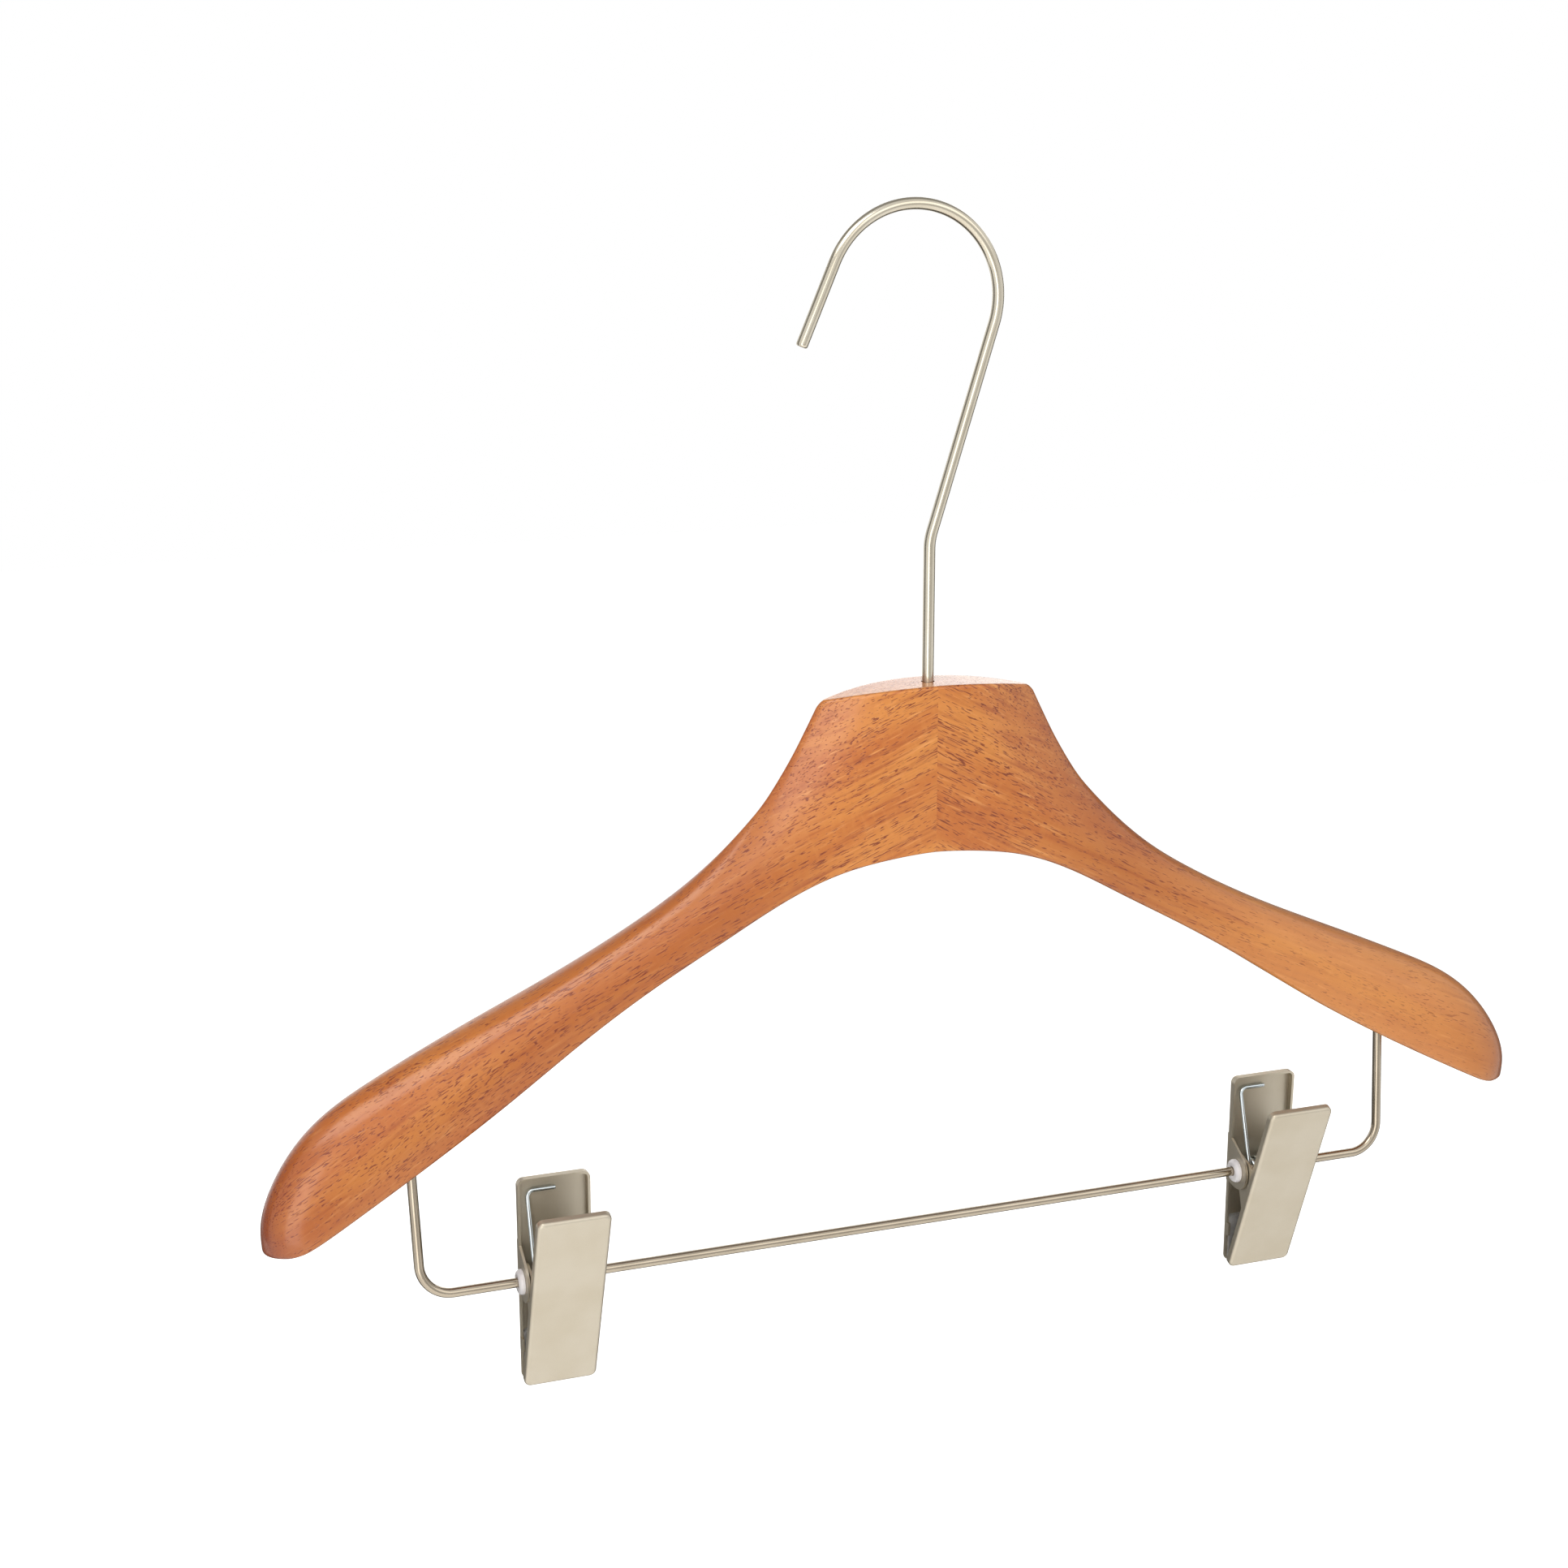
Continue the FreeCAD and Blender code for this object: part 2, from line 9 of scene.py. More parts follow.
import bpy
import numpy as np
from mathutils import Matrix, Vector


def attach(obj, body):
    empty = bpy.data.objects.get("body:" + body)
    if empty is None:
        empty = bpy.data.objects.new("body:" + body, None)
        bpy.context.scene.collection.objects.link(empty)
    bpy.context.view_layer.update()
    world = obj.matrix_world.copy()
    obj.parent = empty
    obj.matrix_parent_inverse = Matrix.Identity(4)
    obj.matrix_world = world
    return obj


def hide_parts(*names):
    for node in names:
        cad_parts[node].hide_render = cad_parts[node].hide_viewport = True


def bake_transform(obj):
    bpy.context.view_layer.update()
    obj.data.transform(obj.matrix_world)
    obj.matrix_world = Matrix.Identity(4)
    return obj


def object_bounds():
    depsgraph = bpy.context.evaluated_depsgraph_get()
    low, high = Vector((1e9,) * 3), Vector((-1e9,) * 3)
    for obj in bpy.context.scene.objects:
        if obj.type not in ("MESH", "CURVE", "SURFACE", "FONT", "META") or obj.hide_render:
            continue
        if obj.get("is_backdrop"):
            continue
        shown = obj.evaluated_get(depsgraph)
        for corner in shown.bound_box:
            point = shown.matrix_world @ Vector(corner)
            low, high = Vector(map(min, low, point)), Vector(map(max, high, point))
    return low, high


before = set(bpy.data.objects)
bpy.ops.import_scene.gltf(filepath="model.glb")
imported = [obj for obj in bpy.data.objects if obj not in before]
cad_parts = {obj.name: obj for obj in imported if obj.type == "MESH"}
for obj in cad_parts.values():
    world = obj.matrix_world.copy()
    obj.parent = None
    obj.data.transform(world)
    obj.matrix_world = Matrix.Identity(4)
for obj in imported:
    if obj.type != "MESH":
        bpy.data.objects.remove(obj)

cad_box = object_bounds()
MM = 0.001
print("size in mm:", [round((high - low) / MM, 1) for low, high in zip(*cad_box)])

# %% [markdown]
# ## Camera
# A product photograph is taken from a few steps away with a longish lens. Three turns say where
# the camera looks: yaw to the side, pitch down and a trace of roll. From them we write down its
# right, up and backward directions, which are the columns of its matrix. That is surer than
# pointing it by eye, because the same numbers always give the same view.

# %% Camera
from mathutils import Matrix

CAMERA_PLACE = (-0.2893, -0.6919, 0.02325)
CAMERA_TURNS = np.radians([19.76, 14.653, 0.109])


def aimed(place, yaw, pitch, roll):
    """A camera matrix: ahead is turned by yaw and dipped by pitch, right lies level and is then
    rolled with down about the line of sight, and the columns are right, up and backward."""
    ahead = np.array([math.sin(yaw) * math.cos(pitch), math.cos(yaw) * math.cos(pitch), -math.sin(pitch)])
    level = np.array([math.cos(yaw), -math.sin(yaw), 0.0])
    down = np.cross(ahead, level)
    right = level * math.cos(roll) + down * math.sin(roll)
    down = down * math.cos(roll) - level * math.sin(roll)
    columns = np.eye(4)
    columns[:3] = np.stack([right, -down, -ahead, place], axis=1)
    return Matrix(columns.tolist())


lens = bpy.data.cameras.new("studio_camera")
lens.lens = 57.68
lens.sensor_width = 36.0
camera = bpy.data.objects.new("studio_camera", lens)
camera.matrix_world = aimed(CAMERA_PLACE, *CAMERA_TURNS)
bpy.context.scene.collection.objects.link(camera)
bpy.context.scene.camera = camera
bpy.context.scene.view_settings.view_transform = "Standard"
print("camera at", [round(value, 3) for value in camera.matrix_world.translation])

# %% [markdown]
# ## Studio
# The hanger hangs in front of white. The floor lies well below it, so its soft shadow falls out
# of the picture. Camera, glossy and transmitted rays see a white surround, while the light that
# the surround gives is lower, so that colours come out about as they are written. A small helper
# adds nodes by name, and the materials further down use it too.

# %% Floor and surround
def node(tree, kind, **settings):
    """Adds one shader node and sets its properties."""
    made = tree.nodes.new(kind)
    for key, value in settings.items():
        setattr(made, key, value)
    return made


def plain_sight(tree):
    """A factor that is 1 for camera, glossy and transmitted rays and 0 for the rest."""
    path = node(tree, "ShaderNodeLightPath")
    total = path.outputs["Is Camera Ray"]
    for name in ("Is Glossy Ray", "Is Transmission Ray"):
        either = node(tree, "ShaderNodeMath", operation="MAXIMUM")
        tree.links.new(total, either.inputs[0])
        tree.links.new(path.outputs[name], either.inputs[1])
        total = either.outputs[0]
    return total


world = bpy.data.worlds.new("studio_surround")
bpy.context.scene.world = world
world.use_nodes = True
tree = world.node_tree
tree.nodes.clear()
soft = node(tree, "ShaderNodeBackground")
soft.inputs["Color"].default_value = (1.0, 0.985, 0.965, 1)
soft.inputs["Strength"].default_value = 0.46
white = node(tree, "ShaderNodeBackground")
white.inputs["Color"].default_value = (1, 1, 1, 1)
choose = node(tree, "ShaderNodeMixShader")
tree.links.new(plain_sight(tree), choose.inputs[0])
tree.links.new(soft.outputs[0], choose.inputs[1])
tree.links.new(white.outputs[0], choose.inputs[2])
tree.links.new(choose.outputs[0], node(tree, "ShaderNodeOutputWorld").inputs[0])

FLOOR_DROP, FLOOR_HALF = 0.75, 4.0
side = np.array([-FLOOR_HALF, FLOOR_HALF])
across, along = np.meshgrid(side, side)
spots = np.stack([across, along, np.full_like(across, -FLOOR_DROP)], axis=-1).reshape(-1, 3)
mesh = bpy.data.meshes.new("studio_floor")
mesh.from_pydata(spots, [], [(0, 1, 3, 2)])
floor = bpy.data.objects.new("studio_floor", mesh)
bpy.context.scene.collection.objects.link(floor)
paint = bpy.data.materials.new("white_floor")
paint.use_nodes = True
tree = paint.node_tree
tree.nodes.clear()
matt = node(tree, "ShaderNodeBsdfDiffuse")
matt.inputs["Color"].default_value = (0.86, 0.86, 0.86, 1)
glow = node(tree, "ShaderNodeEmission")
lift = node(tree, "ShaderNodeMath", operation="MULTIPLY")
lift.inputs[1].default_value = 0.66
tree.links.new(plain_sight(tree), lift.inputs[0])
tree.links.new(lift.outputs[0], glow.inputs["Strength"])
both = node(tree, "ShaderNodeAddShader")
tree.links.new(matt.outputs[0], both.inputs[0])
tree.links.new(glow.outputs[0], both.inputs[1])
tree.links.new(both.outputs[0], node(tree, "ShaderNodeOutputMaterial").inputs[0])
floor.data.materials.append(paint)
floor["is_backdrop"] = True
print("floor", FLOOR_DROP, "m below the hook's rail")

# %% [markdown]
# ## Lamps
# Soft lamps light the hanger: a high one to the left that draws the pale band along the ridge of
# the left arm, a large front one that lights the broad faces through a diffuser, and a weaker one
# behind, so that the back isn't lost in shade.
# Metal only shows its roundness when it mirrors bright and dark side by side. A photographer
# sets up white screens and dark cards for that, and so do we, out of the camera's sight.

# %% Lamps and cards
middle = np.array([0.006, 0.0, -0.18])


def facing(place, target):
    """A matrix whose minus Z axis points from a place to a target, with X level."""
    back = np.array(place) - target
    back = back / np.linalg.norm(back)
    level = np.cross((0.0, 0.0, 1.0), back)
    level = level / np.linalg.norm(level)
    columns = np.eye(4)
    columns[:3] = np.stack([level, np.cross(back, level), back, place], axis=1)
    return Matrix(columns.tolist())


def soft_lamp(name, way, distance, width, height, power, mirrored=True):
    """A rectangular lamp at a distance from the hanger's middle, turned to face it; one that is not
    mirrored only lights, as a lamp does through a large diffuser."""
    lamp = bpy.data.lights.new(name, "AREA")
    lamp.shape = "RECTANGLE"
    lamp.size = width
    lamp.size_y = height
    lamp.energy = power
    lamp.color = (1.0, 0.96, 0.89)
    holder = bpy.data.objects.new(name, lamp)
    way = np.array(way) / np.linalg.norm(way)
    holder.matrix_world = facing(middle + way * distance, middle)
    holder.visible_glossy = mirrored
    bpy.context.scene.collection.objects.link(holder)
    return holder


def mirror_card(name, way, distance, width, height, shade):
    """A matt card, dark or bright, that only mirror images see: it neither shows nor shades."""
    half = np.array([[-1, -1], [1, -1], [1, 1], [-1, 1]]) * (width / 2, height / 2)
    mesh = bpy.data.meshes.new(name)
    mesh.from_pydata(np.column_stack([half, np.zeros(4)]), [], [(0, 1, 2, 3)])
    card = bpy.data.objects.new(name, mesh)
    way = np.array(way) / np.linalg.norm(way)
    card.matrix_world = facing(middle + way * distance, middle)
    bpy.context.scene.collection.objects.link(card)
    felt = bpy.data.materials.new(name)
    felt.use_nodes = True
    felt.node_tree.nodes.clear()
    dull = node(felt.node_tree, "ShaderNodeEmission")
    dull.inputs["Color"].default_value = (1.0, 0.98, 0.95, 1)
    dull.inputs["Strength"].default_value = shade
    felt.node_tree.links.new(dull.outputs[0], node(felt.node_tree, "ShaderNodeOutputMaterial").inputs[0])
    mesh.materials.append(felt)
    for sight in ("camera", "diffuse", "transmission", "shadow"):
        setattr(card, "visible_" + sight, False)
    card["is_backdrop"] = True
    return card


soft_lamp("high_left_lamp", (-0.43, -0.40, 0.81), 0.95, 0.62, 0.42, 2.7)
soft_lamp("front_lamp", (-0.40, -0.88, 0.26), 1.30, 0.60, 0.90, 9.2, False)
soft_lamp("back_lamp", (0.30, 0.95, 0.05), 1.50, 0.90, 0.90, 6.0, False)
mirror_card("left_card", (-0.93, 0.36, 0.0), 1.2, 0.8, 2.0, 0.28)
mirror_card("right_card", (0.85, 0.42, -0.30), 0.65, 0.55, 1.1, 0.2)
mirror_card("table_card", (0.05, 0.35, -0.93), 0.55, 1.6, 1.1, 0.16)
mirror_card("camera_wall", (0.16, -0.95, -0.38), 1.9, 2.4, 1.6, 0.72)
mirror_card("sky_card", (0.10, 0.50, 0.86), 1.1, 2.2, 1.5, 0.4)
mirror_card("left_screen", (-0.50, -0.86, -0.06), 1.2, 0.55, 1.2, 2.8)
mirror_card("upper_screen", (0.37, -0.80, 0.47), 1.2, 1.0, 0.55, 2.0)
mirror_card("back_screen", (0.37, 0.89, 0.25), 1.0, 0.75, 0.42, 2.0)
print("three lamps, five dark cards and three white screens")

# %% [markdown]
# ## Putting a surface into Blender
# Each new piece is a surface worked out as one array of points: rows along the piece, and in each
# row a ring round it. Two helpers turn such a grid into a closed mesh. The flat ends of a
# piece are closed with one face each, and edges sharper than a limit are shaded as edges.

# %% Grid helpers
def ring_faces(rows, count):
    """Quads between neighbouring rings of a grid, facing out if each ring turns with the rule
    across x along = out, the last point of a ring joining the first."""
    index = np.arange(rows * count).reshape(rows, count)
    index = np.hstack([index, index[:, :1]])
    quads = np.stack([index[:-1, :-1], index[:-1, 1:], index[1:, 1:], index[1:, :-1]], axis=-1)
    return quads.reshape(-1, 4)


def signed_volume(points, faces):
    """The volume inside: each face as a fan of triangles, a sixth of the triple products added."""
    total = 0.0
    for face in faces:
        fan = points[np.array(face)]
        total += np.einsum("ij,ij->", np.cross(fan[1:-1], fan[2:]), np.broadcast_to(fan[0], fan[2:].shape))
    return total / 6


def lay_mesh(name, points, faces, sharp=40.0):
    """A mesh object from points in millimetres and lists of corners, smooth but for sharp edges."""
    mesh = bpy.data.meshes.new(name)
    mesh.from_pydata(points * MM, [], faces)
    mesh.validate()
    mesh.shade_smooth()
    mesh.set_sharp_from_angle(angle=math.radians(sharp))
    piece = bpy.data.objects.new(name, mesh)
    bpy.context.scene.collection.objects.link(piece)
    return piece


def stands_for(piece, nodes, body, finish):
    """Gives a piece its finish and body, and hides the solids that it stands for."""
    piece.data.materials.append(finish)
    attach(piece, body)
    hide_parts(*nodes)
    size = [round(value / MM, 1) for value in piece.dimensions]
    print(piece.name, len(piece.data.polygons), "faces,", size, "mm")


# %% [markdown]
# ## Lacquered wood
# The wood is open-pored and stained a warm orange brown under a satin lacquer. Its pores are fine
# tubes along the grain: cut along they are short dark dashes, cut across they are dots. A noise
# that is stretched along the grain in all three directions gives both by itself. The two arms are
# cut so that their grain meets in a chevron at the glue line, so each gets its own grain angle.
# End grain drinks more stain, which makes the ends and flares redder and darker; the ends are
# darkened further as painted shade, and the waists next to the neck are darker as painted shade too.
# Towards the right end the wood is cleaner and more golden, and lighter bands across the grain are
# a painted sheen.

# %% Wood grain
STEM = np.array([6.0, 0.0, -140.7])


def linear(red, green, blue):
    """A colour as written on screen, 0 to 255, turned into the light it stands for."""
    share = np.array([red, green, blue]) / 255
    light = np.where(share <= 0.04045, share / 12.92, ((share + 0.055) / 1.055) ** 2.4)
    return (*light.tolist(), 1.0)


def math_node(tree, operation, first, second=None, third=None, clamp=False):
    """One Math node; numbers are set on its sockets and outputs are linked to them."""
    made = node(tree, "ShaderNodeMath", operation=operation, use_clamp=clamp)
    for socket, value in zip(made.inputs, (first, second, third)):
        if isinstance(value, bpy.types.NodeSocket):
            tree.links.new(value, socket)
        elif value is not None:
            socket.default_value = value
    return made.outputs[0]


def stretched_noise(tree, place, sizes, detail=0.0, seed=0.0):
    """Noise whose lumps have the given sizes in millimetres along the three directions."""
    scaled = node(tree, "ShaderNodeVectorMath", operation="MULTIPLY")
    tree.links.new(place, scaled.inputs[0])
    scaled.inputs[1].default_value = [1 / (size * MM) for size in sizes]
    moved = node(tree, "ShaderNodeVectorMath", operation="ADD")
    tree.links.new(scaled.outputs[0], moved.inputs[0])
    moved.inputs[1].default_value = (seed, 1.7 * seed, 2.3 * seed)
    noise = node(tree, "ShaderNodeTexNoise")
    tree.links.new(moved.outputs[0], noise.inputs["Vector"])
    noise.inputs["Scale"].default_value = 1.0
    noise.inputs["Detail"].default_value = detail
    return noise.outputs["Fac"]


def between(tree, value, low, high):
    """A share that rises smoothly from 0 at low to 1 at high."""
    ramp = node(tree, "ShaderNodeMapRange", interpolation_type="SMOOTHSTEP")
    tree.links.new(value, ramp.inputs["Value"])
    ramp.inputs["From Min"].default_value = low
    ramp.inputs["From Max"].default_value = high
    return ramp.outputs["Result"]


def mixed(tree, share, first, second):
    """A colour between two, each a colour as four numbers or an output."""
    mix = node(tree, "ShaderNodeMix", data_type="RGBA")
    tree.links.new(share, mix.inputs["Factor"])
    for socket, value in ((mix.inputs[6], first), (mix.inputs[7], second)):
        if isinstance(value, bpy.types.NodeSocket):
            tree.links.new(value, socket)
        else:
            socket.default_value = value
    return mix.outputs[2]


def grain_place(tree, tilt, bow):
    """Object places turned so that X runs along the grain, which bows gently and wavers. Planks of
    different tilt lie at different depths in the noise, so that no streak runs from one to the other."""
    spot = node(tree, "ShaderNodeTexCoord")
    turn = node(tree, "ShaderNodeMapping")
    tree.links.new(spot.outputs["Object"], turn.inputs["Vector"])
    turn.inputs["Rotation"].default_value = (0, math.radians(tilt), 0)
    turn.inputs["Location"].default_value = (0, 2 * tilt * MM, 0)
    part = node(tree, "ShaderNodeSeparateXYZ")
    tree.links.new(turn.outputs["Vector"], part.inputs[0])
    square = math_node(tree, "MULTIPLY", part.outputs["X"], part.outputs["X"])
    arch = math_node(tree, "MULTIPLY", square, bow)
    waver = stretched_noise(tree, turn.outputs["Vector"], (55, 30, 18), 1.0, tilt)
    waver = math_node(tree, "MULTIPLY_ADD", waver, 3.0 * MM, arch)
    joined = node(tree, "ShaderNodeCombineXYZ")
    tree.links.new(part.outputs["X"], joined.inputs["X"])
    tree.links.new(part.outputs["Y"], joined.inputs["Y"])
    tree.links.new(math_node(tree, "ADD", part.outputs["Z"], waver), joined.inputs["Z"])
    return joined.outputs[0], spot


def lacquered_wood(name, tilt, bow):
    """Broad tones, fine streaks and lighter bands across the grain, a painted sheen, mixed into one
    colour, more golden towards the right end and deeper elsewhere, with painted shade on the waists;
    end grain and both noses take more stain and are darkened further as painted shade, pores darken
    and dent it, fewer and fainter where it is golden, and a satin coat lies over all."""
    wood = bpy.data.materials.new(name)
    wood.use_nodes = True
    tree = wood.node_tree
    shader = tree.nodes["Principled BSDF"]
    place, spot = grain_place(tree, tilt, bow)

    tone = stretched_noise(tree, place, (70, 14, 9), 2.0, 3.0)
    colour = mixed(tree, between(tree, tone, 0.32, 0.68), linear(192, 108, 43), linear(213, 136, 62))
    streak = stretched_noise(tree, place, (38, 2.6, 1.5), 2.0, 7.0)
    colour = mixed(tree, between(tree, streak, 0.46, 0.82), colour, linear(164, 82, 34))
    pale = stretched_noise(tree, place, (16, 1.6, 0.9), 1.0, 11.0)
    colour = mixed(tree, between(tree, pale, 0.56, 0.85), colour, linear(228, 156, 86))
    # Lighter bands across the grain: a painted sheen of the fibres.
    painted_cross_sheen = stretched_noise(tree, place, (1.7, 5, 7), 3.0, 13.0)
    colour = mixed(tree, between(tree, painted_cross_sheen, 0.40, 1.50), colour, linear(226, 152, 80))
    part = node(tree, "ShaderNodeSeparateXYZ")
    tree.links.new(spot.outputs["Object"], part.inputs[0])
    clean = between(tree, part.outputs["X"], 0.06, 0.14)
    colour = mixed(tree, math_node(tree, "MULTIPLY", clean, 0.55), colour, linear(222, 150, 84))
    away = math_node(tree, "ABSOLUTE", math_node(tree, "SUBTRACT", part.outputs["X"], STEM[0] * MM))
    # Away from the neck the wood takes a deeper stain; the extra share on the waists next to the neck is
    # painted shade.
    deep_stain_and_shade = math_node(tree, "MULTIPLY_ADD", between(tree, part.outputs["X"], -0.16, -0.10), 0.22, 0.42)
    deep_stain_and_shade = math_node(tree, "MULTIPLY", deep_stain_and_shade, between(tree, away, 0.02, 0.07))
    deep_stain_and_shade = math_node(tree, "MULTIPLY", deep_stain_and_shade, math_node(tree, "SUBTRACT", 1.0, clean))
    colour = mixed(tree, deep_stain_and_shade, colour, linear(169, 91, 35))

    # End grain takes more stain. That darkening is widened, and made stronger towards both noses, as
    # painted shade where the light falls off at the ends.
    normal = node(tree, "ShaderNodeVectorMath", operation="DOT_PRODUCT")
    tree.links.new(spot.outputs["Normal"], normal.inputs[0])
    normal.inputs[1].default_value = (math.cos(math.radians(tilt)), 0, math.sin(math.radians(tilt)))
    end_grain_and_shade = math_node(tree, "POWER", math_node(tree, "ABSOLUTE", normal.outputs["Value"]), 1.5)
    nose_stain_and_shade = math_node(tree, "MULTIPLY", between(tree, away, 0.180, 0.214), 0.40)
    end_stain_and_shade = math_node(tree, "MULTIPLY_ADD", end_grain_and_shade, 0.95, nose_stain_and_shade, clamp=True)
    colour = mixed(tree, end_stain_and_shade, colour, linear(144, 68, 28))

    crowd = stretched_noise(tree, place, (60, 5.5, 5.5), 1.0, 17.0)
    crowd = between(tree, crowd, 0.30, 0.72)
    level = math_node(tree, "MULTIPLY_ADD", clean, 0.03, 0.722)
    level = math_node(tree, "MULTIPLY_ADD", crowd, -0.08, level)
    long_pore = stretched_noise(tree, place, (5.6, 0.38, 0.38), 0.0, 19.0)
    short_pore = stretched_noise(tree, place, (2.6, 0.33, 0.33), 0.0, 29.0)
    pore = math_node(tree, "MAXIMUM", long_pore, short_pore)
    open_pore = math_node(tree, "MULTIPLY", math_node(tree, "SUBTRACT", pore, level), 15.0, clamp=True)
    stain = math_node(tree, "MULTIPLY_ADD", clean, -0.42, 0.88)
    colour = mixed(tree, math_node(tree, "MULTIPLY", open_pore, stain), colour, linear(118, 42, 8))
    tree.links.new(colour, shader.inputs["Base Color"])

    fibre = stretched_noise(tree, place, (9, 0.5, 0.5), 1.0, 23.0)
    height = math_node(tree, "MULTIPLY_ADD", open_pore, -1.0, math_node(tree, "MULTIPLY", fibre, 0.12))
    dent = node(tree, "ShaderNodeBump")
    dent.inputs["Strength"].default_value = 0.3
    dent.inputs["Distance"].default_value = 0.12 * MM
    tree.links.new(height, dent.inputs["Height"])
    tree.links.new(dent.outputs[0], shader.inputs["Normal"])
    tree.links.new(dent.outputs[0], shader.inputs["Coat Normal"])
    tree.links.new(math_node(tree, "MULTIPLY_ADD", streak, 0.16, 0.36), shader.inputs["Roughness"])
    shader.inputs["Specular IOR Level"].default_value = 0.12
    shader.inputs["Coat Weight"].default_value = 1.0
    shader.inputs["Coat Roughness"].default_value = 0.2
    shader.inputs["Coat IOR"].default_value = 1.5
    return wood


LEFT_TILT, RIGHT_TILT = 20.0, -30.0
left_wood = lacquered_wood("lacquered_wood_left", LEFT_TILT, 0.35)
right_wood = lacquered_wood("lacquered_wood_right", RIGHT_TILT, -0.15)
print("two grain directions:", LEFT_TILT, "and", RIGHT_TILT, "degrees")

# %% [markdown]
# ## Metal and plastic finishes
# The hook, the bar and the clips are steel with a champagne satin nickel plating: metallic, soft
# in its mirror images, with the finest of drawing or brushing lines. On the bar it is given a darker
# tone as painted shade. The spring is zinc plated, cooler and brighter. The bushes and pads are
# clear plastic that has clouded a little. None of them is one flat colour: a broad noise shifts each
# tone a little, and a fine one its gloss.

# %% Metal and plastic
def plated(name, tone, worn, gloss, grain, dent):
    """Metal between two close tones, its roughness and dents from a fine noise of given sizes."""
    metal = bpy.data.materials.new(name)
    metal.use_nodes = True
    tree = metal.node_tree
    shader = tree.nodes["Principled BSDF"]
    place = node(tree, "ShaderNodeTexCoord").outputs["Object"]
    cloud = stretched_noise(tree, place, (14, 14, 14), 2.0, 5.0)
    tree.links.new(mixed(tree, between(tree, cloud, 0.3, 0.7), tone, worn), shader.inputs["Base Color"])
    fine = stretched_noise(tree, place, grain, 1.0, 9.0)
    tree.links.new(math_node(tree, "MULTIPLY_ADD", fine, 0.16, gloss - 0.08), shader.inputs["Roughness"])
    bump = node(tree, "ShaderNodeBump")
    bump.inputs["Strength"].default_value = 0.25
    bump.inputs["Distance"].default_value = dent * MM
    tree.links.new(fine, bump.inputs["Height"])
    tree.links.new(bump.outputs[0], shader.inputs["Normal"])
    shader.inputs["Metallic"].default_value = 1.0
    return metal


def cloudy_plastic(name, tone, milk, gloss, clear):
    """Clear plastic whose colour clouds between two tones and whose gloss varies a little."""
    plastic = bpy.data.materials.new(name)
    plastic.use_nodes = True
    tree = plastic.node_tree
    shader = tree.nodes["Principled BSDF"]
    place = node(tree, "ShaderNodeTexCoord").outputs["Object"]
    cloud = stretched_noise(tree, place, (2.2, 2.2, 2.2), 2.0, 4.0)
    tree.links.new(mixed(tree, between(tree, cloud, 0.3, 0.75), tone, milk), shader.inputs["Base Color"])
    tree.links.new(math_node(tree, "MULTIPLY_ADD", cloud, 0.2, gloss - 0.1), shader.inputs["Roughness"])
    shader.inputs["Transmission Weight"].default_value = clear
    shader.inputs["IOR"].default_value = 1.47
    return plastic


nickel_wire = plated("satin_nickel_wire", linear(205, 198, 182), linear(198, 190, 172),
                     gloss=0.18, grain=(3, 3, 3), dent=0.001)
# The bar has the hook's plating; its darker tone is painted shade.
nickel_bar_painted_shade = plated("satin_nickel_bar", linear(176, 165, 148), linear(166, 155, 138),
                    gloss=0.16, grain=(3, 3, 3), dent=0.001)
nickel_sheet = plated("satin_nickel_sheet", linear(194, 186, 170), linear(189, 180, 162),
                      gloss=0.46, grain=(0.18, 0.18, 2.4), dent=0.002)
zinc_wire = plated("zinc_spring_wire", linear(205, 212, 214), linear(188, 198, 203),
                   gloss=0.24, grain=(0.6, 0.6, 0.6), dent=0.015)
steel = plated("plain_steel", linear(150, 150, 150), linear(128, 126, 124),
               gloss=0.4, grain=(0.6, 0.6, 0.6), dent=0.02)
bush_plastic = cloudy_plastic("clear_bush_plastic", linear(250, 249, 252), linear(240, 239, 245),
                              gloss=0.22, clear=0.35)
pad_plastic = cloudy_plastic("clear_pad_plastic", linear(206, 205, 204), linear(180, 179, 178),
                             gloss=0.35, clear=0.6)
key_wood = lacquered_wood("plain_beech", 0.0, 0.0)
print("finishes:", len(bpy.data.materials))

# %% [markdown]
# ## Arms
# Each arm was shaped from one plank: a flared neck, a thin waist and a thick rounded shoulder that
# sweeps forward. We carry a section along it. Every section runs from a crest on the upper outline
# to the underside. Its width is zero at the crest and swells to full over a short depth, which
# grows towards the shoulder's end. That gives the soft ridge between the rounded top and the flat
# face. The two outlines are smooth curves through a few measured stations, so the whole arm is a
# handful of numbers and one formula.

# %% Outlines of an arm
HALF_SPAN, ARM_DROP = 214.0, 157.0
NECK_HALF, TIP_HALF = 8.3, 14.3
SWEEP_BACK, SWEEP_FORWARD = 43.0, 53.0
CROWN_RADIUS = 165.0
stations = np.array([
    [-0.066, 0.045, 0.140, 0.045], [-0.066, -0.051, 0.165, -0.027], [-0.066, -0.140, 0.187, -0.086],
    [-0.056, -0.290, 0.213, -0.150], [0.009, -0.334, 0.238, -0.203], [0.117, -0.352, 0.266, -0.250],
    [0.210, -0.396, 0.304, -0.303], [0.308, -0.469, 0.369, -0.379], [0.407, -0.545, 0.453, -0.452],
    [0.523, -0.641, 0.570, -0.535], [0.645, -0.749, 0.701, -0.613], [0.762, -0.841, 0.822, -0.684],
    [0.846, -0.901, 0.918, -0.759], [0.893, -0.933, 0.966, -0.839], [0.926, -0.955, 0.987, -0.918],
    [0.948, -0.969, 0.986, -0.972]]) * [HALF_SPAN, ARM_DROP, HALF_SPAN, ARM_DROP]


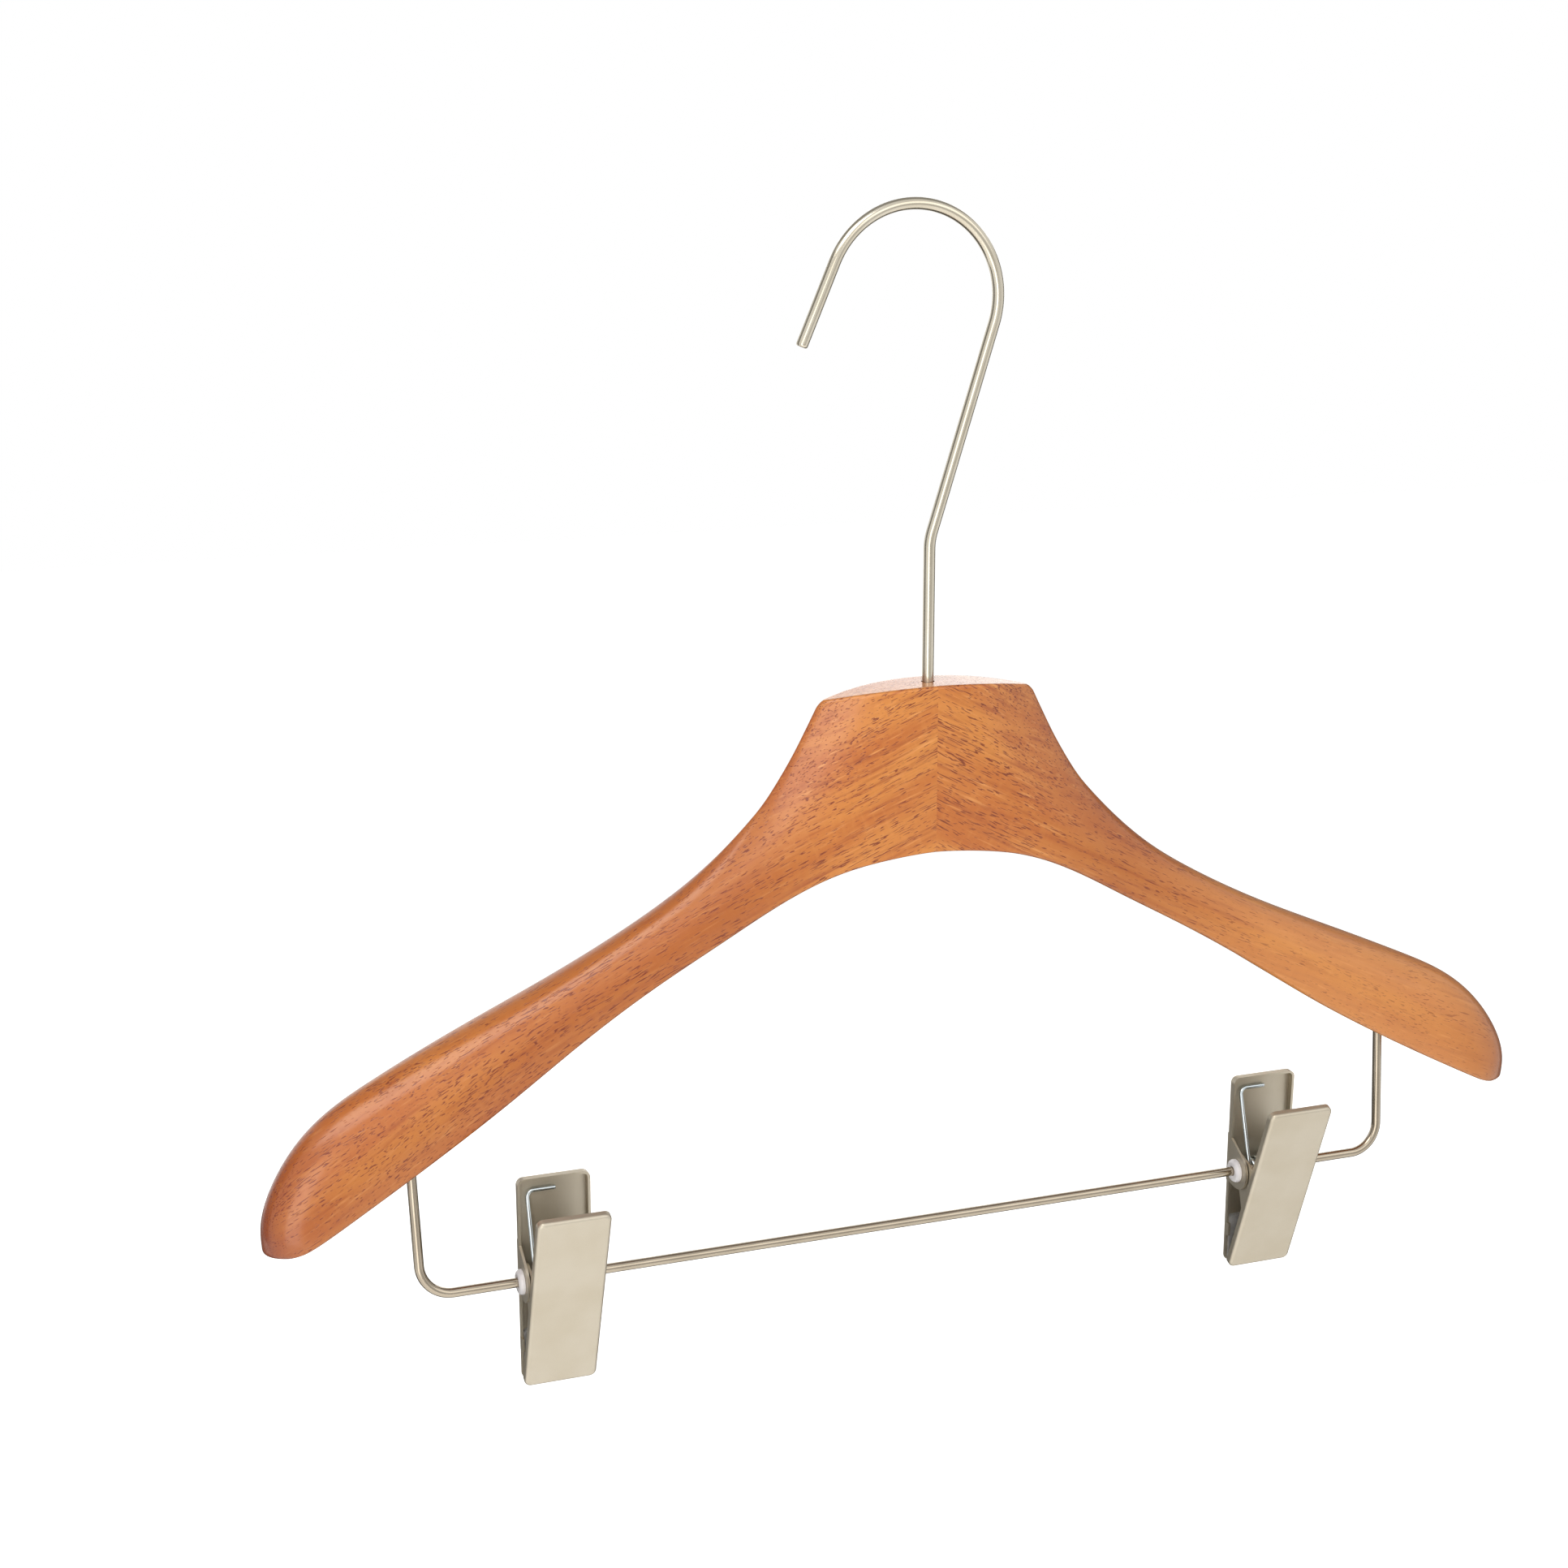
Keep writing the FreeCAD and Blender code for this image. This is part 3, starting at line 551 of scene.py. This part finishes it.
def smooth_curve(knots, values, at):
    """A natural cubic spline: between knots a cubic, whose bends at the knots come from one linear
    system, so that slope and bend run through."""
    gap = np.diff(knots)
    system = np.diag(np.r_[1, 2 * (gap[:-1] + gap[1:]), 1])
    system += np.diag(np.r_[gap[:-1], 0], -1) + np.diag(np.r_[0, gap[1:]], 1)
    slope = np.diff(values, axis=0) / gap[:, None]
    bend = np.linalg.solve(system, np.vstack([0 * slope[:1], 6 * np.diff(slope, axis=0), 0 * slope[:1]]))
    piece = np.clip(np.searchsorted(knots, at, side="right") - 1, 0, len(gap) - 1)
    ahead = (knots[piece + 1] - at)[:, None]
    behind = (at - knots[piece])[:, None]
    width = gap[piece][:, None]
    curve = (bend[piece] * ahead ** 3 + bend[piece + 1] * behind ** 3) / (6 * width)
    curve += (values[piece] / width - bend[piece] * width / 6) * ahead
    return curve + (values[piece + 1] / width - bend[piece + 1] * width / 6) * behind


steps = np.diff(stations, axis=0)
knots = np.r_[0, np.cumsum((np.hypot(steps[:, 0], steps[:, 1]) + np.hypot(steps[:, 2], steps[:, 3])) / 2)]
fine = np.linspace(knots[0], knots[-1], 4001)
outline = smooth_curve(knots, stations, fine)
crown_at = fine[np.argmax(outline[:, 3] < -outline[:, 2] ** 2 / (2 * CROWN_RADIUS))]
glue_at = knots[4] - stations[4, 0]
under_knots = np.r_[2 * glue_at - knots[5:3:-1], knots[4:]]
under_ends = np.vstack([stations[5:3:-1, :2] * (-1, 1), stations[4:, :2]])
glue_foot = -smooth_curve(under_knots, under_ends, np.array([glue_at]))[0, 1]
print("crown corner at %.1f of %.1f mm, glue line %.1f mm long" % (crown_at, knots[-1], glue_foot))

# %% [markdown]
# The rows start on the neck's crown and end on the short flat of the tip. They lie closer together
# where an edge is rounded: under the crown, where the glue line meets the underside, and at the
# tip. Down to the foot of the glue line the rows end on the glue plane, after it on the underside.

# %% Rows of an arm
CROWN_EDGE, TIP_EDGE, LOWER_EDGE = 1.0, 1.6, 1.4
CROWN_EASE, END_INSET = 6.9, 1.2


def eased_rows(start, end, count, first, last):
    """Places from start to end whose spacing shrinks by powers towards each end."""
    share = np.linspace(0, 1, count)
    return start + (end - start) * share ** first / (share ** first + (1 - share) ** last)


depth = eased_rows(0, glue_foot, 76, 2.3, 1.7)[:-1]
bent = depth - CROWN_EASE * (1 - np.exp(-depth / CROWN_EASE))
neck = crown_at + (glue_at - crown_at) * bent / (glue_foot - CROWN_EASE)
arm = eased_rows(glue_at, knots[-1], 124, 1.3, 1.8)
inset = np.r_[END_INSET, np.zeros(len(neck) + len(arm)), END_INSET][:, None]
rows = np.r_[neck[0], neck, arm, arm[-1]]
top = smooth_curve(knots, stations[:, 2:], rows)
on_glue = rows < glue_at
low = smooth_curve(under_knots, under_ends, np.maximum(rows, glue_at))
low[on_glue] = np.column_stack([0 * neck, -depth])[np.r_[0, :len(neck)]]
length = np.linalg.norm(low - top, axis=1)[:, None]
print(len(rows), "rows,", on_glue.sum(), "of them on the glue plane")

# %% [markdown]
# Now the section. `half_width` is the formula that makes this wood look as it does. The rounded
# edges of crown, tip and underside are not bevelled afterwards: near each edge the section simply
# draws in along a quarter circle, which keeps the rows evenly spaced and the shading clean.

# %% Sections of an arm
NECK_ROUND, ARM_ROUND, END_ROUND, FULLNESS = 35.0, 15.0, 28.0, 2.5


def ease(value, start, end):
    """A share from 0 to 1 that rises smoothly between two values."""
    share = np.clip((value - start) / (end - start), 0, 1)
    return share * share * (3 - 2 * share)


def drawn_in(depth, radius):
    """How far a rounded edge of a radius draws in, at a depth below the face that it rounds."""
    gap = np.clip(radius - depth, 0, radius)
    return radius - np.sqrt(radius ** 2 - gap ** 2)


def half_width(below, share):
    """Half the thickness at a distance below the crest: the full half times one minus a power of
    what is left to the depth of the rounding, raised to a power that is lower, and so fuller, on
    the arm than on the neck. The rounding deepens again towards the shoulder's end, and the crest
    itself is rounded by about a millimetre."""
    turned = ease(share, 0.17, 0.40)
    ended = ease(share, 0.55, 0.95)
    full = NECK_HALF + (TIP_HALF - NECK_HALF) * ease(share, 0.33, 0.90)
    below = np.maximum(below, 0)
    depth = NECK_ROUND + (ARM_ROUND - NECK_ROUND) * turned + (END_ROUND - ARM_ROUND) * ended
    inner = 1 - np.minimum(below / depth, 1)
    swell = full * (1 - inner ** FULLNESS) ** (1.0 - 0.58 * turned + 0.14 * ended)
    return np.minimum(np.sqrt(swell ** 2 + 1.6 * below * np.exp(-below / 4)), full), full


tip_way = (low[-1] - top[-1]) / length[-1]
arch = np.where(on_glue, 1 - ease(-low[:, 1], 0, 14), 0)[:, None]


def spine_spots(below):
    """Places on the rows' spines at distances below the crest; the first rows arch with the crown."""
    spot = top[:, None] + (low - top)[:, None] * (below / length)[..., None]
    x, z = spot[..., 0], spot[..., 1]
    return x, z + arch * (x * (top[0, 0] - x)).clip(0) / (2 * CROWN_RADIUS)


def edge_draw(below):
    """How far the rounded edges of crown and tip draw in at those places."""
    x, z = spine_spots(below)
    crown = drawn_in(-x ** 2 / (2 * CROWN_RADIUS) - z, CROWN_EDGE + 1.2 * np.exp(-below / 5))
    tip = drawn_in(np.abs((x - top[-1, 0]) * tip_way[1] - (z - top[-1, 1]) * tip_way[0]), TIP_EDGE)
    return np.where(rows[:, None] > knots[-3], tip, np.where(on_glue[:, None], crown, 0)) + inset


# How far an edge draws in depends on the place, and the place on that, so a few rounds settle both.
first, last = 0 * length, length
for settle in range(8):
    first = edge_draw(first)
    last = np.where(on_glue[:, None], length, length - edge_draw(last))
grow = np.linspace(0, 1, 46) ** 2
bend = LOWER_EDGE * np.cos(np.linspace(0, np.pi / 2, 9))[1:]
below = np.hstack([first + grow * (last - LOWER_EDGE - first), last - bend])
x, z = spine_spots(below)
draw = edge_draw(below)
wide, full = half_width(below - draw, top[:, :1] / HALF_SPAN)
to_edge = last - below + np.where(on_glue, low[:, 1] + glue_foot, 0)[:, None]
half = (wide * (1 - draw / full) - drawn_in(to_edge, LOWER_EDGE)).clip(0)
print("thickest section %.1f mm, deepest %.1f mm" % (2 * half.max(), length.max()))

# %% [markdown]
# The plan of the arm sways back a little and then sweeps forward to the shoulder, so each place is
# moved by that sway. The hook needs a stepped bore: a hole in the crown, a seat for its sleeve and
# a pocket for its head. Half of it lies in each glue face, where the middle of the row steps aside
# along a half circle.

# %% Bore for the hook
BORE_FEET = [3.0, 25.0, 28.75]
BORE_RADII = [2.1, 3.05, 4.55]
NO_BORE_SPREAD, RIM = 3.0, 0.15
share = x.clip(0) / HALF_SPAN
sway = SWEEP_BACK * share ** 2 - SWEEP_FORWARD * share ** 3
front = np.stack([x, sway - half, z], axis=-1)
back = np.stack([x, sway + half, z], axis=-1)


def bore_radius(depth):
    """The radius of the hook's bore at a depth under the crown, and 0 below its pocket."""
    return np.select([depth < foot for foot in BORE_FEET], BORE_RADII, 0.0)


at_row = np.where(on_glue, -low[:, 1], np.inf)
bore = np.max([bore_radius(at_row[np.clip(np.arange(len(rows)) + step, 0, None) % len(rows)])
               for step in (-1, 0, 1)], axis=0)
spread = np.where(bore > 0, bore, NO_BORE_SPREAD)
spread[0] += RIM
turn = np.linspace(-np.pi / 2, np.pi / 2, 13)
aside = np.stack([np.outer(bore, np.cos(turn)), np.outer(spread, np.sin(turn)),
                  np.outer(0 * bore, turn)], axis=-1)
edges = [front[:, -1:] * (1 - part) + back[:, -1:] * part for part in (0.06, 0.5, 0.94)]
arm = np.concatenate([front, edges[0], edges[1] + aside, edges[2], back[:, :0:-1]], axis=1)
print("bore of radius %.2f to %.2f mm on" % (bore[bore > 0].min(), bore.max()), (bore > 0).sum(), "rows")

# %% [markdown]
# The ends are flat. On the tip's end, places on the front are joined to the same at the back. On
# the crown this stops short of the hook's hole, and one face with the hole in its edge closes the
# rest. The left arm is the right one mirrored, with its faces turned round.

# %% Both arms
def flat_end(start, last, ring):
    """Faces that close one end ring: up to the last column each joins two places on the front to
    the same at the back, and what is left of the ring is one face."""
    ahead = start + np.arange(last + 1)
    behind = start + np.r_[0, ring - np.arange(1, last + 1)]
    faces = [[ahead[0], ahead[1], behind[1]]]
    faces += np.stack([ahead[1:-1], ahead[2:], behind[2:], behind[1:-1]], axis=-1).tolist()
    return faces + [list(range(start + last, start + ring - last + 1))]


count, ring = arm.shape[:2]
faces = ring_faces(count, ring).tolist()
faces += [face[::-1] for face in flat_end(0, np.sum(x[0] > 3.5) - 1, ring)]
faces += flat_end((count - 1) * ring, half.shape[1] - 2, ring)
points = arm.reshape(-1, 3)
right_arm = lay_mesh("right_wooden_arm", points + STEM, faces, 50)
left_arm = lay_mesh("left_wooden_arm", points * (-1, 1, 1) + STEM, [face[::-1] for face in faces], 50)
stands_for(right_arm, ["right_arm"], "hanger_body", right_wood)
stands_for(left_arm, ["left_arm"], "hanger_body", left_wood)
print("volume of an arm: %.1f cm3" % (signed_volume(points, faces) / 1000))

# %% [markdown]
# ## Hook and clip bar
# Both are bent from round wire, so both are a circle carried along a path of straight runs and
# arcs. The paths lie in a plane, and the direction across that plane stays the same all
# along, which keeps the circle from twisting. The radius may change along the way: it tapers for
# the small chamfer at the hook's cut end and widens for the riveted head inside the neck.

# %% Wire helpers
def run(start, end, count=2):
    """Points along a straight line."""
    return np.linspace(np.array(start, float), np.array(end, float), count)


def rounding(before, corner, after, radius, count=16):
    """Points of the arc that rounds a corner: its centre lies on the halving line, at the radius
    over the sine of half the angle, and each point is the radius away from it."""
    before, corner, after = (np.array(spot, float) for spot in (before, corner, after))
    ways = [(spot - corner) / np.linalg.norm(spot - corner) for spot in (before, after)]
    half_angle = math.acos(np.clip(ways[0] @ ways[1], -1, 1)) / 2
    halving = (ways[0] + ways[1]) / np.linalg.norm(ways[0] + ways[1])
    centre = corner + halving * radius / math.sin(half_angle)
    touch = ways[0] - ways[1]
    touch = touch / np.linalg.norm(touch)
    turn = np.linspace(half_angle - np.pi / 2, np.pi / 2 - half_angle, count)[:, None]
    return centre - radius * (np.cos(turn) * halving + np.sin(turn) * touch)


def wire_grid(path, across, radius, points=28):
    """Rings round a path: at each place, radius times cosine and sine of the angle along two
    directions square to the path, the first given and the second from the cross product."""
    ahead = np.gradient(path, axis=0)
    ahead = ahead / np.linalg.norm(ahead, axis=1)[:, None]
    other = np.cross(ahead, across)
    other = other / np.linalg.norm(other, axis=1)[:, None]
    first = np.cross(other, ahead)
    angle = np.linspace(0, 2 * np.pi, points, endpoint=False)
    circle = first[:, None] * np.cos(angle)[:, None] + other[:, None] * np.sin(angle)[:, None]
    return path[:, None] + circle * np.broadcast_to(radius, len(path))[:, None, None]


def wire_piece(name, path, across, radius, place, sharp=35):
    """A closed round wire as a mesh piece: its rings, and one face on each end."""
    grid = wire_grid(path, across, radius)
    rows, ring = grid.shape[:2]
    faces = ring_faces(rows, ring).tolist()
    faces += [list(range(ring))[::-1], list(range((rows - 1) * ring, rows * ring))]
    return lay_mesh(name, grid.reshape(-1, 3) + place, faces, sharp)


# %% Hook
HOOK_WIRE, HOOK_ROUND, HOOK_REACH = 3.6, 27.1, 140.7
TIP_RUN, SHANK_BEND = 26.0, 18.0
HEAD_WIDTH, HEAD_TOP, HEAD_EDGE, HEAD_FOOT = 8.0, -26.05, -28.2, -28.45
lean, tip_lean = math.radians(17.3), math.radians(23.3)
centre = np.array([-STEM[0], 0.0, HOOK_REACH + HOOK_WIRE / 2 - HOOK_ROUND])
sweep = np.linspace(math.pi - tip_lean, -lean, 110)[:, None]
bow = centre + HOOK_ROUND * (np.cos(sweep) * (1, 0, 0) + np.sin(sweep) * (0, 0, 1))
ahead = np.array([math.sin(tip_lean), 0, math.cos(tip_lean)])
tip = bow[0] - TIP_RUN * ahead
cut_end = tip + np.outer([0, 0.12, 0.4, 0.7], ahead)
elbow = (0, 0, bow[-1, 2] - bow[-1, 0] / math.tan(lean))
stem = np.outer([0, HEAD_TOP, HEAD_TOP, HEAD_EDGE, HEAD_FOOT], (0, 0, 1))
path = np.vstack([cut_end, run(tip + ahead, bow[0], 8)[:-1], bow, run(bow[-1], elbow, 14)[1:-3],
                  rounding(bow[-1], elbow, (0, 0, 0), SHANK_BEND), stem])
radius = np.full(len(path), HOOK_WIRE / 2)
radius[:3] -= 0.42, 0.24, 0.06
radius[-3:] = HEAD_WIDTH / 2 - np.array([0, 0, 0.3])
hook = wire_piece("wire_hook", path, (0, 1, 0), radius, STEM)
stands_for(hook, ["hook"], "hook", nickel_wire)

# %% Clip bar
BAR_WIRE, BAR_DROP, BAR_FORWARD, BAR_HALF, BAR_BEND = 3.0, 174.3, 7.9, 165.0, 10.0
SEAT_DROP = 114.7
bar_lean, leg_splay = math.radians(6.3), math.radians(1.2)
BAR = np.array([0.0, -BAR_FORWARD, -BAR_DROP])
rise = (BAR_DROP - SEAT_DROP) / math.cos(bar_lean)
leg = rise * np.array([math.tan(leg_splay), math.sin(bar_lean), math.cos(bar_lean)])
sides = np.array([[-1, 1, 1], [1, 1, 1]])
corners = BAR + sides * (BAR_HALF, 0, 0)
tops = corners + sides * leg
turns = [rounding(tops[0], corners[0], corners[1], BAR_BEND, 24),
         rounding(corners[0], corners[1], tops[1], BAR_BEND, 24)]
path = np.vstack([run(tops[0], turns[0][0], 6)[:-1], turns[0],
                  run(turns[0][-1], turns[1][0], 24)[1:-1], turns[1],
                  run(turns[1][-1], tops[1], 6)[1:]])
across = np.array([0, -math.cos(bar_lean), math.sin(bar_lean)])
bar = wire_piece("wire_clip_bar", path, across, BAR_WIRE / 2, STEM)
stands_for(bar, ["clip_bar"], "hanger_body", nickel_bar_painted_shade)

# %% [markdown]
# ## Clip springs
# Each clip is closed by a wound spring round the bar: a foot on the back plate, a leg that crosses
# down to the front of the coil, between six and seven turns, and a leg that crosses from the back
# of the coil up to a foot on the front plate. All of it is one wire. The direction across it is the
# coil's radius, and on the straight legs and feet the radius at which they touch the coil.

# %% Springs
SPRING_WIRE, COIL_RADIUS, COIL_TURNS = 1.3, 3.4, 6
LEG_PLACE, LEG_TOP, FOOT_LENGTH, FOOT_BEND = 8.2, 27.0, 9.0, 2.2
BACK_FACE, FRONT_FACE, SHEET, FOOT_GAP = 6.9, 10.6, 0.8, 0.1
LEAN = math.radians(20.0)
INSET = SHEET + SPRING_WIRE / 2 + FOOT_GAP


def touching(y, z, turn):
    """The angle at which a line from a point touches the coil, seen along the bar."""
    return math.atan2(z, y) + turn * math.acos(COIL_RADIUS / math.hypot(y, z))


def forward(spot):
    """Turns a point about the bar by the front plate's lean."""
    x, y, z = spot
    return np.array([x, y * math.cos(LEAN) - z * math.sin(LEAN), y * math.sin(LEAN) + z * math.cos(LEAN)])


def spring_path():
    """The spring's middle line and its direction across. The coil is a helix whose first and
    last quarter turns run in flat; legs and feet are straight, with a rounded corner between."""
    back = np.array([-LEG_PLACE, BACK_FACE - INSET, LEG_TOP])
    front = forward((LEG_PLACE, INSET - FRONT_FACE, LEG_TOP))
    start, end = touching(back[1], back[2], 1), touching(front[1], front[2], -1)
    end += 2 * math.pi * (COIL_TURNS + math.ceil((start - end) / (2 * math.pi)))
    share = np.linspace(0, 1, 300)
    quarter = math.pi / 2 / (end - start)
    flat = np.minimum(share, 1 - share)
    eased = np.where(flat < quarter, flat ** 2 / (2 * quarter), flat - quarter / 2)
    climb = np.where(share < 0.5, eased, 1 - quarter - eased) / (1 - quarter)
    angle = start + (end - start) * share
    out = np.stack([0 * angle, np.cos(angle), np.sin(angle)], axis=1)
    coil = out * COIL_RADIUS + np.outer(LEG_PLACE * (2 * climb - 1), (1, 0, 0))
    feet = back + (FOOT_LENGTH, 0, 0), front - (FOOT_LENGTH, 0, 0)
    turns = rounding(feet[0], back, coil[0], FOOT_BEND), rounding(coil[-1], front, feet[1], FOOT_BEND)
    chamfer = np.array([[0.0, 0, 0], [0.15, 0, 0], [0.5, 0, 0]])
    before = np.vstack([feet[0] - chamfer, run(feet[0] - (1, 0, 0), turns[0][0], 4)[:-1], turns[0],
                        run(turns[0][-1], coil[0], 10)[1:-1]])
    after = np.vstack([run(coil[-1], turns[1][0], 10)[1:-1], turns[1],
                       run(turns[1][-1], feet[1] + (1, 0, 0), 4)[1:], feet[1] + chamfer[::-1]])
    across = np.vstack([np.tile(out[0], (len(before), 1)), out, np.tile(out[-1], (len(after), 1))])
    return np.vstack([before, coil, after]), across


path, across = spring_path()
radius = np.full(len(path), SPRING_WIRE / 2)
radius[[0, -1]] = SPRING_WIRE / 2 - 0.15
CLIPS = {"left": -122.5, "right": 122.5}
for side, place in CLIPS.items():
    axis = STEM + BAR + (place, 0, 0)
    spring = wire_piece(side + "_wound_spring", path, across, radius, axis)
    spring.data.materials.append(zinc_wire)
    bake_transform(spring)
    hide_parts(side + "_spring")
    print(spring.name, len(spring.data.polygons), "faces")

# %% [markdown]
# ## Bushes
# A clear bush lines the ears on each side of a clip, so that metal never rubs on metal. It is
# turned, so it is a profile carried round the bar: a thin sleeve and a domed flange with soft lips.

# %% Bushes
def rounded_outline(corners, radii, count=8):
    """A closed outline whose corners are rounded by arcs."""
    corners = np.array(corners, float)
    arcs = [rounding(corners[index - 1], spot, corners[(index + 1) % len(corners)], radii[index], count)
            for index, spot in enumerate(corners)]
    return np.vstack(arcs)


BORE, SLEEVE, FLANGE = 1.55, 2.5, 3.9
SLEEVE_START, FLANGE_START, FLANGE_END = 9.45, 11.45, 13.25
profile = rounded_outline([(SLEEVE_START, BORE, 0), (SLEEVE_START, SLEEVE, 0), (FLANGE_START, SLEEVE, 0),
                           (FLANGE_START, FLANGE, 0), (FLANGE_END, FLANGE, 0), (FLANGE_END, BORE, 0)],
                          [0.25, 0.25, 0.1, 0.2, 1.25, 0.45], 10)
angle = np.linspace(0, 2 * np.pi, 64, endpoint=False)[:, None]
along, out = profile[:, 0], profile[:, 1]
turned = np.stack([along + 0 * angle, out * np.cos(angle), out * np.sin(angle)], axis=-1)
rows, ring = turned.shape[:2]
mirrored = (ring_faces(rows + 1, ring) % (rows * ring)).tolist()
faces = [face[::-1] for face in mirrored]
points = turned.reshape(-1, 3)
print("volume of a bush: %.1f mm3" % signed_volume(points, faces))
for side, place in CLIPS.items():
    outward = 1 if place > 0 else -1
    for name, way in (("outer", outward), ("inner", -outward)):
        spots = points * (way, 1, 1) + STEM + BAR + (place, 0, 0)
        bush = lay_mesh("%s_%s_clear_bush" % (side, name), spots, faces if way > 0 else mirrored, 60)
        stands_for(bush, ["%s_%s_bush" % (side, name)], side + "_clip_carriage",
                   bush_plastic)

# %% [markdown]
# ## Pieces taken over from the frame
# Pressed jaws, pads and the parts hidden in the neck already have their shape in the frame. They
# keep it and only get their finish.

# %% Finishes on the frame's own pieces
def dress(name, finish):
    """Puts a finish on one of the frame's solids."""
    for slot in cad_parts[name].material_slots:
        slot.material = finish


for side in CLIPS:
    for jaw in ("back", "front"):
        dress("%s_%s_jaw" % (side, jaw), nickel_sheet)
        dress("%s_%s_pad" % (side, jaw), pad_plastic)
dress("joint_key", key_wood)
dress("hook_sleeve", steel)
dress("hook_washer", steel)

# %% [markdown]
# ## Measure and finish
# The growth of the dressed hanger's box over the frame's box is printed, so that we can see whether
# the finer surfaces stayed within the measured size.

# %% Sizes
seen_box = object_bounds()
grown = [[round((seen - cad) / MM, 2) for seen, cad in zip(*pair)] for pair in zip(seen_box, cad_box)]
print("grown by, in mm:", grown)
